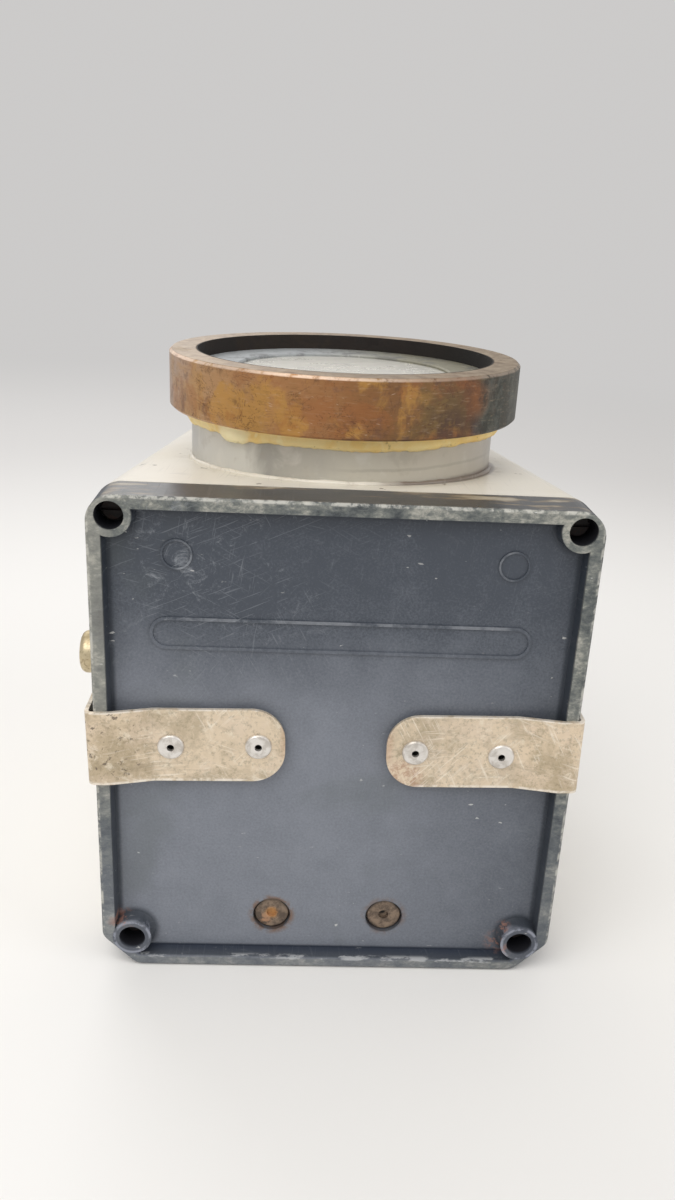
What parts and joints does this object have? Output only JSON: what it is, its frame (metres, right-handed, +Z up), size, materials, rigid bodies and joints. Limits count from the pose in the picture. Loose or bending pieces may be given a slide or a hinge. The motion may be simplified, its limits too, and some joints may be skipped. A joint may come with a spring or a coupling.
{
  "type": "marine chronometer",
  "caption": "Timekeeper in a square tapered sealed case with a round brass bezel on top, a moulded screwed front cover, riveted side straps and a stop knob.",
  "frame": {"origin": "foot of the dial axis on the flat base plane", "axes": "+Z up along the dial axis, +X to the right of someone facing the moulded cover, cover faces -Y"},
  "size_m": [0.1608, 0.1572, 0.1956],
  "materials": {
    "case_paint": "glossy off-white paint",
    "cover_moulding": "blue-black moulded resin, worn satin",
    "seal_rubber": "dull black",
    "dull_steel": "dull, stained",
    "plug_brass": "stained brass",
    "strap_metal": "worn, pitted, warm grey",
    "rivet_alloy": "pale, satin",
    "neck_paint": "pale grey semi-gloss paint",
    "seal_putty": "aged cream-yellow putty",
    "bezel_brass": "heavy brown patina",
    "ring_metal": "mottled grey",
    "crystal_glass": "clear",
    "dial_enamel": "cream enamel",
    "dial_silver": "silvered brass, grained",
    "hand_blue": "blued",
    "movement_brass": "lacquered brass",
    "blued_steel": "blued",
    "jewel": "ruby",
    "polished_steel": "polished",
    "spring_steel": "blued steel",
    "gland_brass": "dull, stained",
    "pad_leather": "soft"
  },
  "bodies": {
    "case": {"case_body": "case_paint", "front_cover": "cover_moulding", "cover_gasket": "seal_rubber", "cover_screws": "dull_steel", "cover_plugs": "plug_brass", "left_strap": "strap_metal", "right_strap": "strap_metal", "strap_rivets": "rivet_alloy", "neck_collar": "neck_paint", "neck_seal": "seal_putty", "bezel": "bezel_brass", "glass_ring": "ring_metal", "crystal": "crystal_glass", "glass_gasket": "seal_rubber", "dial_plate": "dial_enamel", "chapter_ring": "dial_silver", "seconds_dial": "dial_silver", "upper_plate": "movement_brass", "lower_plate": "movement_brass", "pillars": "movement_brass", "pillar_screws": "blued_steel", "plate_screws": "blued_steel", "pivot_jewels": "jewel", "barrel_arbor": "polished_steel", "mainspring": "spring_steel", "fusee_chain": "spring_steel", "minute_stud": "polished_steel", "balance_spring": "spring_steel", "balance_cock": "movement_brass", "cock_screw": "blued_steel", "detent": "spring_steel", "gland_bush": "gland_brass", "gland_nut": "gland_brass", "shaft_seal": "seal_rubber"},
    "seconds_arbor": {"fourth_wheel": "movement_brass", "fourth_arbor": "polished_steel", "seconds_hand": "hand_blue"},
    "third": {"third_wheel": "movement_brass", "third_arbor": "polished_steel"},
    "centre": {"centre_wheel": "movement_brass", "centre_arbor": "polished_steel", "cannon_pinion": "polished_steel", "minute_hand": "hand_blue"},
    "fusee_drive": {"great_wheel": "movement_brass", "fusee": "movement_brass", "fusee_arbor": "polished_steel"},
    "mainspring_barrel": {"barrel": "movement_brass"},
    "escape": {"escape_wheel": "movement_brass", "escape_arbor": "polished_steel"},
    "minute_work": {"minute_wheel": "movement_brass"},
    "hour": {"hour_wheel": "movement_brass", "hour_hand": "hand_blue"},
    "balance": {"balance_wheel": "movement_brass", "balance_staff": "polished_steel", "balance_roller": "polished_steel"},
    "balance_stop": {"stop_knob": "gland_brass", "stop_shaft": "polished_steel", "stop_arm": "movement_brass", "stop_pad": "pad_leather"}
  },
  "joints": [
    {"name": "seconds_turn", "type": "hinge", "parent": "case", "child": "seconds_arbor", "pos_m": [0, -0.022, 0.16], "axis": [0, 0, -1], "continuous": true},
    {"name": "third_turn", "type": "hinge", "parent": "case", "child": "third", "pos_m": [0.01709, -0.01114, 0.16], "axis": [0, 0, -1], "continuous": true},
    {"name": "centre_turn", "type": "hinge", "parent": "case", "child": "centre", "pos_m": [0, 0, 0.16], "axis": [0, 0, -1], "continuous": true},
    {"name": "fusee_turn", "type": "hinge", "parent": "case", "child": "fusee_drive", "pos_m": [-0.0203, 0.00739, 0.16], "axis": [0, 0, -1], "continuous": true},
    {"name": "barrel_turn", "type": "hinge", "parent": "case", "child": "mainspring_barrel", "pos_m": [0.008, 0.029, 0.16], "axis": [0, 0, -1], "continuous": true},
    {"name": "escape_turn", "type": "hinge", "parent": "case", "child": "escape", "pos_m": [-0.01691, -0.02816, 0.16], "axis": [0, 0, -1], "continuous": true},
    {"name": "minute_work_turn", "type": "hinge", "parent": "case", "child": "minute_work", "pos_m": [0.00679, 0.00679, 0.175], "axis": [0, 0, -1], "continuous": true},
    {"name": "hour_turn", "type": "hinge", "parent": "case", "child": "hour", "pos_m": [0, 0, 0.178], "axis": [0, 0, -1], "continuous": true},
    {"name": "balance_swing", "type": "hinge", "parent": "case", "child": "balance", "pos_m": [-0.01888, -0.01703, 0.145], "axis": [0, 0, -1], "range_deg": [-135, 135], "stiffness_Nm_per_rad": 0.00015},
    {"name": "stop_knob_turn", "type": "hinge", "parent": "case", "child": "balance_stop", "pos_m": [-0.05, -0.049, 0.102], "axis": [-1, 0, 0], "range_deg": [0, 24.2]}
  ],
  "couplings": [
    {"joint": "third_turn", "follows": "seconds_turn", "ratio": -0.125},
    {"joint": "centre_turn", "follows": "seconds_turn", "ratio": 0.016667},
    {"joint": "fusee_turn", "follows": "seconds_turn", "ratio": -0.0020833},
    {"joint": "barrel_turn", "follows": "seconds_turn", "ratio": -0.0015522},
    {"joint": "escape_turn", "follows": "seconds_turn", "ratio": -8},
    {"joint": "minute_work_turn", "follows": "seconds_turn", "ratio": -0.0055556},
    {"joint": "hour_turn", "follows": "seconds_turn", "ratio": 0.0013889}
  ]
}
